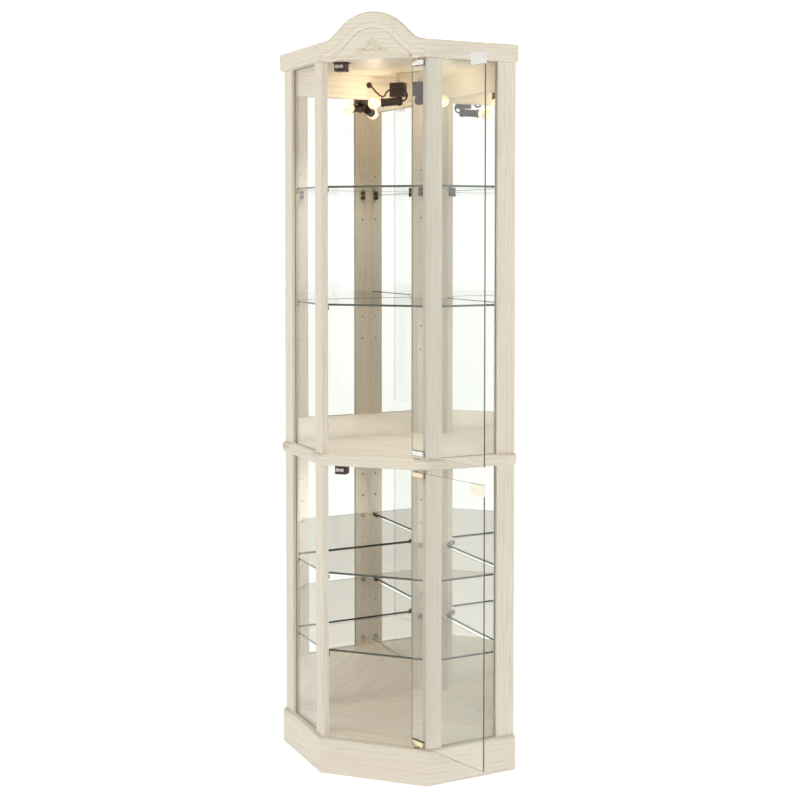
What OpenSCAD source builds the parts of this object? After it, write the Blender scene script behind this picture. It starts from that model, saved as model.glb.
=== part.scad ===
// Corner curio cabinet: five-sided plan, two glazed compartments, mirrored back
// walls, frameless glass doors on pivots, and an arched crown with a lamp inside.
// The origin is on the floor, in the middle of the front plinth board.
// +Z is up, -Y is the front, and the two back walls meet at a right angle.

/* [Plan] */
// Half of the width between the outer front corners of the front stiles
half_front = 132; // [120:1:145]
// Length of each glazed side, from front corner to back wall
side_run = 239.6; // [225:0.1:260]
// How far the plinth stands in front of the stiles
plinth_front_reveal = 8; // [6:0.5:12]
// How far the plinth stands outside the glazed sides
plinth_side_reveal = 8.5; // [6:0.5:10]

/* [Heights] */
// Height of the plinth
plinth_h = 85; // [70:1:100]
// Underside of the board between the two compartments
mid_z = 751; // [740:1:760]
// Thickness of the board between the two compartments
mid_t = 27; // [24:1:30]
// Underside of the ceiling board
ceiling_z = 1718; // [1700:1:1730]
// Thickness of the ceiling board
ceiling_t = 18; // [16:1:20]
// Height of the crown mouldings
crown_h = 42; // [38:1:46]
// Height of the top of the arch above the ceiling
arch_rise = 111; // [105:1:115]

/* [Boards] */
// Thickness of the plinth boards
plinth_t = 20; // [18:1:22]
// Thickness of the stiles
stile_t = 16; // [14:1:18]
// Width of the front stiles
front_stile_w = 42; // [36:1:46]
// Width of the rear stiles
rear_stile_w = 49; // [45:1:55]
// Radius on the exposed edges of the boards
edge_r = 8; // [4:1:9]
// Thickness of the crown side mouldings
crown_t = 20; // [18:1:22]
// Thickness of the arch above the doors
arch_t = 14; // [12:1:15]
// Thickness of the panel inside the arch
tympanum_t = 7; // [5:1:8]

/* [Glass] */
// Thickness of the doors
door_t = 4; // [4:0.5:5]
// Thickness of the side panes
pane_t = 4; // [3:0.5:5]
// Distance from the outer face of the stiles to the side panes
pane_inset = 8.5; // [7:0.5:9]
// Thickness of the shelves
shelf_t = 5; // [4:0.5:6]
// Radius on the front corners of the shelves
shelf_r = 22; // [15:1:30]
// Thickness of the mirrors
mirror_t = 3; // [2:0.5:4]
// Thickness of the back panels behind the mirrors
back_t = 4; // [3:0.5:5]

/* [Doors] */
// Opening angle at which both doors stand
door_angle = 150; // [90:1:150]
// Distance of the pivots from the middle of the front
pivot_x = 105.6; // [100:0.1:106]
// Distance of the pivots behind the face of the stiles
pivot_y = 6; // [5:0.5:7]
// Length of glass from the pivots to the free edge
door_reach = 227.5; // [220:0.5:228]
// Length of glass from the pivots to the hinge edge
door_tail = 15; // [10:0.5:15]
// Gap above and below each door
door_gap = 5; // [4:0.5:8]

/* [Shelves] */
// Height of the lowest shelf hole in the lower compartment
lower_hole_z = 219; // [210:1:224]
// Number of shelf holes in each row of the lower compartment
lower_hole_count = 7; // [5:1:7]
// Height of the lowest of the three shelf holes below the middle of the upper compartment
upper_low_hole_z = 1002; // [990:1:1010]
// Height of the lowest of the three shelf holes above the middle of the upper compartment
upper_high_hole_z = 1350; // [1340:1:1360]
// Spacing of the shelf holes
hole_pitch = 63.6; // [60:0.1:65]

/* [Hidden] */
$fn = 48;

WOOD = "#e2dac6";
WARM_WOOD = "#dccfae";
CLEAR = [0.78, 0.88, 0.84, 0.35];
SILVER = "#dfe6e6";
BRASS = "#b08d3c";
NICKEL = "#c9c6bb";
BROWN = "#3a241c";

root2 = sqrt(2);
mid_top = mid_z + mid_t;
back_y = half_front + root2 * side_run;
wall_len = (back_y + half_front) / root2;
mirror_u = side_run - back_t - mirror_t;
crown_front = plinth_front_reveal + 9;
crown_side = plinth_side_reveal + 4;
arch_back = crown_front - arch_t;
far = 700;

// Corner post: leg along each mirror, depth of its end faces, and its neck
post_leg = 52;
post_end = 21;
post_w = wall_len - back_t - mirror_t - post_leg;
neck_w = wall_len - back_t - mirror_t - 2;
post_face_y = (mirror_u - post_end + post_w) / root2;

// Arch outline: top arc, 45 degree flank, and hollow foot
arch_r = 108;
arch_top = ceiling_z + arch_rise;
arch_c = arch_top - arch_r;
foot_r = 45;
foot_z = ceiling_z + crown_h + 2;
band_lip = 14;
band_w = 43;

// Door fittings
clip_h = 13;
clip_t = 10;
clip_reach = 28;
clip_tail = 12;
clip_cap = 1.2;
pin_r = 2.5;
bush_bore_r = 2.55;
bush_r = 4.5;
bush_depth = 10;
bush_flange_r = 6.5;
bush_flange_t = 1.5;
seat_r = 4.6;
strike_w = 45;
strike_h = 26;
strike_t = 1;
screw_r = 2.6;

// Latches and their travel
latch_x = -91;
latch_w = 27;
latch_flange_w = 38;
latch_flange_t = 3;
latch_flange_setback = 5;
latch_h = 22;
latch_y = 13.5;
latch_depth = 26;
plunger_r = 4.2;
plunger_gap = 13;
plunger_out = 4;
plunger_in = 10;

// Shelf pins and their holes
peg_r = 2.5;
peg_hole_r = 2.6;
peg_hole_depth = 11;
peg_head_r = 6;
peg_head_l = 9;
front_pin_u = 21;
rear_pin_u = mirror_u - 21;
post_pin_x = 13;
shelf_front = 34;
shelf_gap = 1.5;
shelf_mirror_gap = 10;
lower_holes = [for (i = [0:lower_hole_count - 1]) lower_hole_z + i * hole_pitch];
upper_holes = [for (z = [upper_low_hole_z, upper_high_hole_z], i = [0:2]) z + i * hole_pitch];
lower_pins = [lower_holes[1], lower_holes[4]];
upper_pins = [upper_holes[2], upper_holes[4]];

// Twin lamp: switch blocks on straps, lamp holders, their clamp rings, and bulbs
lamp_y = 272;
lamp_dx = 32;
block = [38, 24, 35.5];
block_drop = 26;
strap = [12, 2];
lamp_base = [96, 18, 2];
holder_start = [20, 268, ceiling_z - 72];
holder_r = 10;
holder_l = 48;
holder_turn = -8;
holder_tilt = 94;
clamp_t = 1.6;
clamp_w = 8;
bulb_r = 17.5;
bulb_cap_r = 6;
bulb_cap_l = 26;

// Lead: its radius and the points of its route, from lamp holder to back panel
lead_r = 2.2;
lead_route = [
    [-19.5, 268, 1646], [-13, 267, 1647], [-7, 264, 1652], [-4, 260, 1660],
    [-6, 257, 1668], [-13, 256, 1674], [-24, 255, 1677], [-37, 255, 1677],
    [-50, 256, 1673], [-58, 259, 1669], [-64, 266, 1664], [-70, 273, 1660],
    [-78, 279, 1660], [-88, 286, 1665], [-98, 294, 1672], [-108, 302, 1681],
    [-117, 309, 1689], [-123, 314, 1693], [-128, 318, 1694], [-141, 331, 1694]
];

// Rails across the top of the mirrors, and the hole where the lead leaves
rail_h = 60;
rail_t = 12;
rail_lap = 12;
exit_w = 227.6;
exit_z = 1694;
exit_r = 5;
grommet_l = rail_t + mirror_t + back_t;

// ---------------------------------------------------------------- helpers

// Point in plan, from the distance along the right side and in from its face
function wall(u, w) = [half_front + (u - w) / root2, (u + w) / root2];

function flip(p) = [-p.x, p.y];

// Five corners of the plan: front left, front right, right, back, left
function plan(front, side, back) =
    let (xs = half_front + side * root2, yb = back_y - back * root2,
         fr = [xs - front, -front], sr = [(xs + yb) / 2, (yb - xs) / 2])
    [flip(fr), fr, sr, [0, yb], flip(sr)];

function arc(c, r, from, to, n = 16) =
    [for (i = [0:n]) let (a = from + (to - from) * i / n) c + r * [cos(a), sin(a)]];

// Right half of the arch's outline, inset by d, down to height z
function flank(d, z) = let (r = arch_r - d, k = (r / root2 + arch_c - z))
    concat(arc([0, arch_c], r, 90, 45), [[r / root2 + k, z]]);

function mirrored(pts) = [for (i = [len(pts) - 1:-1:0]) flip(pts[i])];

module side_frame() translate([half_front, 0, 0]) rotate([0, 0, 45]) children();

// Right side as drawn, or its mirror image on the left
module hand(left) mirror([left ? 1 : 0, 0, 0]) children();

// Section of a board with rounded outer edges, its outer face at x = 0
module section(t, h, top_r, low_r) {
    translate([0, low_r]) square([t, h - top_r - low_r]);
    translate([max(top_r, low_r), 0]) square([t - max(top_r, low_r), h]);
    if (top_r > 0) translate([top_r, h - top_r]) circle(top_r);
    if (low_r > 0) translate([low_r, low_r]) circle(low_r);
}

// The section drawn out along X
module strip(t, h, top_r, low_r)
    translate([-far, 0, 0]) rotate([90, 0, 90]) linear_extrude(2 * far)
        section(t, h, top_r, low_r);

// Board number i of a five-sided ring, mitred at both ends
module ring_board(i, outer, inner, h) {
    j = (i + 1) % 5;
    linear_extrude(h) polygon([outer[i], outer[j], inner[j], inner[i]]);
}

module board(plan_pts, z, t) translate([0, 0, z]) linear_extrude(t) polygon(plan_pts);

module drill(p, z, r, h) translate([p.x, p.y, z]) cylinder(h = h, r = r);

// ---------------------------------------------------------------- plinth

plinth_outer = plan(plinth_front_reveal, plinth_side_reveal, 0);
plinth_inner = plan(plinth_front_reveal - plinth_t, plinth_side_reveal - plinth_t, plinth_t);

module plinth_front() color(WOOD) difference() {
    intersection() {
        ring_board(0, plinth_outer, plinth_inner, plinth_h);
        translate([0, -plinth_front_reveal, 0]) strip(plinth_t, plinth_h, edge_r, 0);
    }
    drill([pivot_x, pivot_y], plinth_h - bush_depth, seat_r, bush_depth + 1);
}

module plinth_side(left) color(WOOD) hand(left) intersection() {
    ring_board(1, plinth_outer, plinth_inner, plinth_h);
    side_frame() translate([0, -plinth_side_reveal, 0]) strip(plinth_t, plinth_h, edge_r, 0);
}

module plinth_left() plinth_side(true);
module plinth_right() plinth_side(false);

module plinth_back(left) color(WARM_WOOD) hand(left)
    ring_board(2, plinth_outer, plinth_inner, plinth_h);

module plinth_back_left() plinth_back(true);
module plinth_back_right() plinth_back(false);

module floor_panel() color(WARM_WOOD) board(plinth_inner, plinth_h - ceiling_t, ceiling_t);

// ---------------------------------------------------------------- stiles

// Holes for shelf pins in the inner face of a stile, at distance u along it
module stile_holes(u, holes) for (z = holes)
    translate([u, stile_t + 1, z]) rotate([90, 0, 0])
        cylinder(h = peg_hole_depth + 1, r = peg_hole_r);

module stile(left, u, w, z0, z1, hole_u, holes) color(WOOD) hand(left)
    side_frame() difference() {
        translate([u, 0, z0]) cube([w, stile_t, z1 - z0]);
        translate([front_stile_w - 5, pane_inset, z0 - 1])
            cube([side_run - front_stile_w - rear_stile_w + 10, pane_t, z1 - z0 + 2]);
        stile_holes(hole_u, holes);
    }

module lower_stile(left, u, w, hole_u) stile(left, u, w, plinth_h, mid_z, hole_u, lower_holes);

module upper_stile(left, u, w, hole_u)
    stile(left, u, w, mid_top, ceiling_z, hole_u, upper_holes);

rear_u = side_run - rear_stile_w;

module lower_front_stile_left() lower_stile(true, 0, front_stile_w, front_pin_u);
module lower_front_stile_right() lower_stile(false, 0, front_stile_w, front_pin_u);
module lower_rear_stile_left() lower_stile(true, rear_u, rear_stile_w, rear_pin_u);
module lower_rear_stile_right() lower_stile(false, rear_u, rear_stile_w, rear_pin_u);
module upper_front_stile_left() upper_stile(true, 0, front_stile_w, front_pin_u);
module upper_front_stile_right() upper_stile(false, 0, front_stile_w, front_pin_u);
module upper_rear_stile_left() upper_stile(true, rear_u, rear_stile_w, rear_pin_u);
module upper_rear_stile_right() upper_stile(false, rear_u, rear_stile_w, rear_pin_u);

// Post in the back corner, with a tongue between the two back walls
module corner_post(z0, z1, holes) color(WOOD) difference() {
    half = [wall(mirror_u - post_end, post_w), wall(mirror_u, post_w), wall(mirror_u, neck_w),
            wall(side_run, neck_w)];
    board(concat(half, [[0, back_y]], mirrored(half)), z0, z1 - z0);
    for (x = [-post_pin_x, post_pin_x], z = holes)
        translate([x, post_face_y + peg_hole_depth, z]) rotate([90, 0, 0])
            cylinder(h = peg_hole_depth + 1, r = peg_hole_r);
}

module lower_corner_post() corner_post(plinth_h, mid_z, lower_holes);
module upper_corner_post() corner_post(mid_top, ceiling_z, upper_holes);

// ------------------------------------------------- panes, mirrors and backs

pane_slack = 0.4;

module side_glass(left, z0, z1) color(CLEAR) hand(left) side_frame()
    translate([front_stile_w - 4.5, pane_inset + pane_slack / 2, z0])
        cube([side_run - front_stile_w - rear_stile_w + 9, pane_t - pane_slack, z1 - z0]);

module lower_side_glass_left() side_glass(true, plinth_h, mid_z);
module lower_side_glass_right() side_glass(false, plinth_h, mid_z);
module upper_side_glass_left() side_glass(true, mid_top, ceiling_z);
module upper_side_glass_right() side_glass(false, mid_top, ceiling_z);

// Sheet against a back wall, between the rear stile and the corner post
module back_sheet(left, u, t, z0, z1) hand(left) side_frame()
    translate([u, stile_t, z0]) cube([t, neck_w - stile_t, z1 - z0]);

module mirror_pane(left, z0, z1) color(SILVER) back_sheet(left, mirror_u, mirror_t, z0, z1);

upper_mirror_top = ceiling_z - rail_h + rail_lap;

module lower_mirror_left() mirror_pane(true, plinth_h, mid_z);
module lower_mirror_right() mirror_pane(false, plinth_h, mid_z);
module upper_mirror_left() mirror_pane(true, mid_top, upper_mirror_top);
module upper_mirror_right() mirror_pane(false, mid_top, upper_mirror_top);

// Hole of radius r for the lead, through the rail and panel of the left wall
module lead_exit(r, l) hand(true) side_frame()
    translate([mirror_u - rail_t, exit_w, exit_z]) rotate([0, 90, 0]) cylinder(h = l, r = r);

module back_panel_left() color(WARM_WOOD) difference() {
    back_sheet(true, side_run - back_t, back_t, plinth_h, ceiling_z);
    lead_exit(exit_r, grommet_l + 1);
}

module back_panel_right() color(WARM_WOOD)
    back_sheet(false, side_run - back_t, back_t, plinth_h, ceiling_z);

module back_top_rails() color(WARM_WOOD) difference() {
    for (left = [true, false]) hand(left) side_frame()
        translate([mirror_u - rail_t, stile_t, ceiling_z - rail_h])
            cube([rail_t, post_w - stile_t, rail_h]);
    translate([0.5, -0.5, 0]) lead_exit(exit_r, grommet_l);
}

// ---------------------------------------------------------------- boards

// Board between the compartments, cut back so that the back panels pass behind it
module mid_board() color(WOOD) difference() {
    front = plinth_front_reveal - 3;
    intersection() {
        difference() {
            board(plan(front, plinth_side_reveal, 0), mid_z, mid_t);
            for (left = [true, false])
                back_sheet(left, side_run - back_t, back_t + 1, mid_z - 1, mid_top + 1);
        }
        translate([0, -front, mid_z]) strip(far, mid_t, edge_r, edge_r);
        side_frame() translate([0, -plinth_side_reveal, mid_z]) strip(far, mid_t, edge_r, edge_r);
        hand(true) side_frame() translate([0, -plinth_side_reveal, mid_z])
            strip(far, mid_t, edge_r, edge_r);
    }
    drill([pivot_x, pivot_y], mid_z - 1, seat_r, bush_depth + 1);
    drill([pivot_x, pivot_y], mid_top - bush_depth, seat_r, bush_depth + 1);
}

module ceiling_board() color(WARM_WOOD) difference() {
    board(plan(arch_back, crown_side - crown_t, 0), ceiling_z, ceiling_t);
    drill([pivot_x, pivot_y], ceiling_z - 1, seat_r, bush_depth + 1);
}

// ---------------------------------------------------------------- crown

module crown_side_board(left) color(WOOD) hand(left) intersection() {
    difference() {
        board(plan(crown_front, crown_side, 0), ceiling_z, crown_h);
        board(plan(far, crown_side - crown_t, -far), ceiling_z - 1, crown_h + 2);
        translate([-far, -crown_front - 1, ceiling_z - 1])
            cube([far + half_front - 14, arch_t + 1, crown_h + 2]);
        front_mitre();
    }
    side_frame() translate([0, -crown_side, ceiling_z]) strip(far, crown_h, 0, edge_r);
    translate([0, -far, ceiling_z]) cube([far, 2 * far, crown_h]);
}

// Ground taken up by the arch, back to its mitres with the side mouldings
module front_mitre() {
    outer = plan(crown_front, crown_side, 0);
    inner = plan(arch_back, crown_side - crown_t, 0);
    linear_extrude(3 * far) polygon([outer[0], outer[1], inner[1], inner[0]]);
}

module crown_left() crown_side_board(true);
module crown_right() crown_side_board(false);

// Outline of the arch, from corner to corner
module arch_outline() {
    foot_x = arch_r / root2 + (arch_r / root2 + arch_c - foot_z) + foot_r * (root2 - 1);
    right = concat(
        arc([0, arch_c], arch_r, 90, 45),
        arc([foot_x, foot_z + foot_r], foot_r, 225, 270, 8),
        [[half_front + 20, foot_z], [half_front + 20, ceiling_z]]);
    polygon(concat(right, mirrored(right)));
}

module arch_opening(d) {
    right = flank(d, ceiling_z + 6);
    polygon(concat(right, mirrored(right)));
}

module upright(y, t) translate([0, y + t, 0]) rotate([90, 0, 0]) linear_extrude(t) children();

module crown_arch() color(WOOD) intersection() {
    difference() {
        union() {
            upright(-crown_front, arch_t) difference() {
                arch_outline();
                arch_opening(band_w - band_lip);
            }
            upright(-crown_front + 3, arch_t - 3) difference() {
                arch_opening(band_w - band_lip);
                arch_opening(band_w);
            }
        }
        upright(-arch_back - tympanum_t, tympanum_t + 1) arch_opening(band_w - 4);
    }
    front_mitre();
}

module crown_tympanum() color(WOOD)
    upright(-arch_back - tympanum_t, tympanum_t) arch_opening(band_w - 4);

// Carved spray: a plume of leaves over a row of scrolls that gets smaller outwards
carving_z = ceiling_z + 22;
carving_t = 5;
plume_step = 26;
plume_l = 30;
plume_w = 7;
scrolls = [[0, -2, 9], [14, -2, 9], [28, -5, 8], [40, -8, 6], [48, -11, 4]];

module crown_carving() color(WOOD) upright(-arch_back - tympanum_t - carving_t, carving_t) {
    for (i = [-2:2]) let (l = plume_l - 6 * abs(i))
        translate([0, carving_z]) rotate(i * plume_step) {
            translate([-plume_w / 2, 0]) square([plume_w, l]);
            translate([0, l]) circle(plume_w / 2);
        }
    for (s = [-1, 1], c = scrolls) translate([s * c[0], carving_z + c[1]]) circle(c[2]);
}

// ---------------------------------------------------------------- doors

lower_door = [plinth_h + door_gap + 2.5, mid_z - door_gap + 1.5];
upper_door = [mid_top + door_gap + 2.5, ceiling_z - door_gap];

// Door pieces are drawn closed, around the pivot, and turned to the open angle
module door_place() translate([pivot_x, pivot_y, 0]) rotate([0, 0, door_angle]) children();

module door_glass(z) color(CLEAR) door_place()
    translate([-door_reach, -door_t / 2, z[0] + clip_cap])
        cube([door_reach + door_tail, door_t, z[1] - z[0] - 2 * clip_cap]);

// Clip folded over the end of the glass, with its pivot pin; top is 1 or -1
module door_clip(z, top) {
    z_end = top > 0 ? z[1] : z[0];
    tip = bush_depth - 3 + door_gap;
    color(BRASS) door_place() translate([0, 0, z_end]) mirror([0, 0, top > 0 ? 0 : 1]) {
        difference() {
            translate([-clip_reach, -clip_t / 2, -clip_h])
                cube([clip_reach + clip_tail, clip_t, clip_h]);
            translate([-clip_reach - 1, -door_t / 2, -clip_h - 1])
                cube([clip_reach + clip_tail + 2, door_t, clip_h + 1 - clip_cap]);
        }
        translate([0, 0, -0.5]) cylinder(h = tip, r = pin_r);
    }
}

// Two screws in the outer face of each clip
module door_screws(z) color(BRASS) door_place()
    for (zc = [z[0] + clip_h / 2 + 0.5, z[1] - clip_h / 2 - 0.5], x = [-18, 2])
        translate([x, -clip_t / 2, zc]) rotate([90, 0, 0]) difference() {
            cylinder(h = 1.4, r = screw_r);
            translate([-screw_r, -0.4, 0.8]) cube([2 * screw_r, 0.8, 1]);
        }

// Steel plate folded over the free edge, which the latch holds
module door_strike(z) color(NICKEL) door_place()
    translate([-door_reach, 0, z[1] - clip_cap - strike_h]) difference() {
        translate([-strike_t, -door_t / 2 - strike_t, 0])
            cube([strike_w, door_t + 2 * strike_t, strike_h]);
        translate([0, -door_t / 2, -1]) cube([strike_w, door_t, strike_h + 2]);
    }

module lower_door_glass() door_glass(lower_door);
module lower_door_top_clip() door_clip(lower_door, 1);
module lower_door_bottom_clip() door_clip(lower_door, -1);
module lower_door_strike() door_strike(lower_door);
module lower_door_screws() door_screws(lower_door);
module upper_door_glass() door_glass(upper_door);
module upper_door_top_clip() door_clip(upper_door, 1);
module upper_door_bottom_clip() door_clip(upper_door, -1);
module upper_door_strike() door_strike(upper_door);
module upper_door_screws() door_screws(upper_door);

// Flanged bush in a board; side is 1 when the board is above the door
module bush(z, side) translate([pivot_x, pivot_y, z]) mirror([0, 0, side > 0 ? 0 : 1])
    difference() {
        union() {
            cylinder(h = bush_depth - 0.5, r = bush_r);
            translate([0, 0, -bush_flange_t]) cylinder(h = bush_flange_t, r = bush_flange_r);
        }
        translate([0, 0, -bush_flange_t - 1])
            cylinder(h = bush_depth + bush_flange_t + 2, r = bush_bore_r);
    }

module pivot_bushes() color(BRASS) {
    bush(plinth_h, -1);
    bush(mid_z, 1);
    bush(mid_top, -1);
    bush(ceiling_z, 1);
}

// ---------------------------------------------------------------- latches

// Housing of a push latch, hung by its flange under a board at height z, with two bores
module latch_body(z) color(BROWN) difference() {
    union() {
        translate([latch_x - latch_w / 2, latch_y, z - latch_h])
            cube([latch_w, latch_depth, latch_h]);
        translate([latch_x - latch_flange_w / 2, latch_y + latch_flange_setback,
                   z - latch_flange_t])
            cube([latch_flange_w, latch_depth - latch_flange_setback, latch_flange_t]);
    }
    latch_bores(z, plunger_r + 0.1, latch_y - 1, plunger_in + 4);
}

module latch_bores(z, r, y, l)
    for (s = [-1, 1]) translate([latch_x + s * plunger_gap / 2, y, z - latch_h / 2])
        rotate([-90, 0, 0]) cylinder(h = l, r = r);

// Two magnetic plungers tied together by a bar in front of the housing
module latch_plungers(z) color(BROWN) {
    latch_bores(z, plunger_r, latch_y - plunger_out, plunger_out + plunger_in - 1);
    translate([latch_x - plunger_gap / 2, latch_y - plunger_out, z - latch_h / 2 - 3])
        cube([plunger_gap, 1, 6]);
}

module lower_latch_body() latch_body(mid_z);
module lower_latch_plungers() latch_plungers(mid_z);
module upper_latch_body() latch_body(ceiling_z);
module upper_latch_plungers() latch_plungers(ceiling_z);

// ---------------------------------------------------------------- shelves

// Right half of a shelf's outline, from the front corner to the post
function shelf_half() =
    let (xs = half_front - (stile_t + shelf_gap) * root2,
         yb = back_y - (back_t + mirror_t + shelf_mirror_gap) * root2,
         cut_y = post_face_y - shelf_gap,
         run = shelf_r * tan(22.5),
         c = [xs + shelf_front - run, shelf_front + shelf_r])
    concat(arc(c, shelf_r, -90, -45, 8),
           [[(xs + yb) / 2, (yb - xs) / 2], [yb - cut_y, cut_y]]);

module shelf(z) color(CLEAR)
    board(concat(shelf_half(), mirrored(shelf_half())), z + peg_head_r + 0.1, shelf_t);

module lower_shelf_1() shelf(lower_pins[0]);
module lower_shelf_2() shelf(lower_pins[1]);
module upper_shelf_1() shelf(upper_pins[0]);
module upper_shelf_2() shelf(upper_pins[1]);

// Pin with its shank in the wall, pointing along +Z
module peg() {
    translate([0, 0, -peg_hole_depth + 1]) cylinder(h = peg_hole_depth, r = peg_r);
    cylinder(h = peg_head_l, r = peg_head_r);
}

module shelf_pins() color(BRASS) for (z = concat(lower_pins, upper_pins)) {
    for (left = [true, false], u = [front_pin_u, rear_pin_u])
        hand(left) side_frame() translate([u, stile_t, z]) rotate([-90, 0, 0]) peg();
    for (x = [-post_pin_x, post_pin_x])
        translate([x, post_face_y, z]) rotate([90, 0, 0]) peg();
}

// ---------------------------------------------------------------- lamp

// Base on the ceiling, and on each side a strap, a switch block and a clamp ring
module lamp_bracket() color(BROWN) {
    translate([-lamp_base.x / 2, lamp_y - lamp_base.y / 2, ceiling_z - lamp_base.z])
        cube(lamp_base);
    for (left = [true, false]) hand(left) {
        translate([lamp_dx, lamp_y, ceiling_z]) {
            translate([-strap.x / 2, -strap.y / 2, -block_drop - 1])
                cube([strap.x, strap.y, block_drop]);
            translate([-block.x / 2, -block.y / 2, -block_drop - block.z]) cube(block);
        }
        holder_axis() translate([0, 0, 4]) difference() {
            cylinder(h = clamp_w, r = holder_r + 0.1 + clamp_t);
            translate([0, 0, -1]) cylinder(h = clamp_w + 2, r = holder_r + 0.1);
        }
    }
}

// Axis of the right lamp holder: almost level, pointing outwards
module holder_axis() translate(holder_start) rotate([0, holder_tilt, holder_turn]) children();

module lamp_socket(left) color(BROWN) hand(left) holder_axis() difference() {
    union() {
        cylinder(h = holder_l, r = holder_r);
        translate([0, 0, holder_l]) cylinder(h = 5, r = holder_r + 1.5);
    }
    translate([0, 0, holder_l - 15]) cylinder(h = 25, r = bulb_cap_r + 0.2);
}

module lamp_socket_left() lamp_socket(true);
module lamp_socket_right() lamp_socket(false);

module lamp_bulbs() color([1, 0.96, 0.85, 0.8]) for (left = [true, false])
    hand(left) holder_axis() translate([0, 0, holder_l - 14]) rotate_extrude() intersection() {
        union() {
            square([bulb_cap_r, bulb_cap_l]);
            translate([0, bulb_cap_l - 4 + bulb_r]) circle(bulb_r);
        }
        square([2 * bulb_r, bulb_cap_l + 3 * bulb_r]);
    }

// Sleeve where the lead passes through the rail and the back panel
module lamp_grommet() color(BROWN) difference() {
    union() {
        lead_exit(exit_r - 0.1, grommet_l);
        translate([1.4, -1.4, 0]) lead_exit(exit_r + 2.5, 1.98);
    }
    translate([3, -3, 0]) lead_exit(lead_r + 0.5, grommet_l + 10);
}

// Tube swept along a route, with rings turned to the route's direction
function unit(v) = v / norm(v);

function heading(pts, i) = unit(pts[min(i + 1, len(pts) - 1)] - pts[max(i - 1, 0)]);

function ring(pts, i, r, sides) =
    let (t = heading(pts, i), a = unit(cross(t, [0.2, 1, 0.1])), b = cross(t, a))
    [for (k = [0:sides - 1]) pts[i] + r * (cos(360 * k / sides) * a + sin(360 * k / sides) * b)];

// Point of a smooth curve through the route, at s between points i and i + 1
function blend(pts, i, s) =
    let (n = len(pts) - 1, a = pts[max(i - 1, 0)], b = pts[i], c = pts[min(i + 1, n)],
         d = pts[min(i + 2, n)])
    0.5 * (2 * b + (c - a) * s + (2 * a - 5 * b + 4 * c - d) * s * s
           + (3 * b - a - 3 * c + d) * s * s * s);

module tube(route, r, sides) {
    pts = concat([for (i = [0:len(route) - 2], s = [0, 0.5]) blend(route, i, s)],
                 [route[len(route) - 1]]);
    n = len(pts);
    rings = [for (i = [0:n - 1]) each ring(pts, i, r, sides)];
    walls = [for (i = [0:n - 2], k = [0:sides - 1]) let (m = (k + 1) % sides)
        [i * sides + k, i * sides + m, (i + 1) * sides + m, (i + 1) * sides + k]];
    polyhedron(rings, concat(walls, [[for (k = [sides - 1:-1:0]) k]],
                             [[for (k = [0:sides - 1]) (n - 1) * sides + k]]));
}

module lamp_lead() color(BROWN) tube(lead_route, lead_r, 8);

// ---------------------------------------------------------------- assembly

plinth_front();
plinth_left();
plinth_right();
plinth_back_left();
plinth_back_right();
floor_panel();
lower_front_stile_left();
lower_front_stile_right();
lower_rear_stile_left();
lower_rear_stile_right();
lower_corner_post();
upper_front_stile_left();
upper_front_stile_right();
upper_rear_stile_left();
upper_rear_stile_right();
upper_corner_post();
lower_side_glass_left();
lower_side_glass_right();
upper_side_glass_left();
upper_side_glass_right();
lower_mirror_left();
lower_mirror_right();
upper_mirror_left();
upper_mirror_right();
back_panel_left();
back_panel_right();
back_top_rails();
mid_board();
ceiling_board();
crown_left();
crown_right();
crown_arch();
crown_tympanum();
crown_carving();
lower_door_glass();
lower_door_top_clip();
lower_door_bottom_clip();
lower_door_strike();
lower_door_screws();
upper_door_glass();
upper_door_top_clip();
upper_door_bottom_clip();
upper_door_strike();
upper_door_screws();
pivot_bushes();
lower_latch_body();
lower_latch_plungers();
upper_latch_body();
upper_latch_plungers();
lower_shelf_1();
lower_shelf_2();
upper_shelf_1();
upper_shelf_2();
shelf_pins();
lamp_bracket();
lamp_socket_left();
lamp_socket_right();
lamp_bulbs();
lamp_lead();
lamp_grommet();
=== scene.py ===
"""Looks of the corner curio cabinet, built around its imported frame."""
import math

import bmesh
import bpy
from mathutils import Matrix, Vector


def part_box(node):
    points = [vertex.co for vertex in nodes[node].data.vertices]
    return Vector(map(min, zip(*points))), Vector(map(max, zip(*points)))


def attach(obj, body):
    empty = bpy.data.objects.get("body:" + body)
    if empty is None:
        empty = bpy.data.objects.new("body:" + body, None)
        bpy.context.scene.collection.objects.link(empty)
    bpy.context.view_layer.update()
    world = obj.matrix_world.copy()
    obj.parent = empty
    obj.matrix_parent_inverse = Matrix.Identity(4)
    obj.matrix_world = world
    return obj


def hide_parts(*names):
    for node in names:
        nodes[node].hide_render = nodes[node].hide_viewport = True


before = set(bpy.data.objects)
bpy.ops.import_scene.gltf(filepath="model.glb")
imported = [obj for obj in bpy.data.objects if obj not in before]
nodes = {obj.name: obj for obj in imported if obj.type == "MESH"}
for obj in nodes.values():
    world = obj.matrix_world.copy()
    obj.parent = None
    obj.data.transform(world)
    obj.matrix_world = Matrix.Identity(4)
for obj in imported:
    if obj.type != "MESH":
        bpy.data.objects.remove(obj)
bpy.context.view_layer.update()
scene = bpy.context.scene
MM = 0.001
SHARP_ANGLE = 40


# ------------------------------------------------------------------ camera

def add_camera():
    """The photograph's viewpoint, to the right of the middle and at eye height.

    The lens is shifted, as in the photograph, so that upright edges stay nearly upright. The
    sensor's height sets the picture; its width only makes other views stand further back, where
    the shift doesn't cut them.
    """
    data = bpy.data.cameras.new("camera")
    data.lens = 62.911
    data.sensor_fit = "VERTICAL"
    data.sensor_height = 36
    data.sensor_width = 28.3
    data.shift_y = -0.13
    camera = bpy.data.objects.new("camera", data)
    camera.location = (1.1285, -3.1108, 1.3122)
    camera.rotation_euler = (math.pi / 2 - 0.0454, 0, 0.3291)
    scene.collection.objects.link(camera)
    scene.camera = camera


# ------------------------------------------------------------------ helpers

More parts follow.
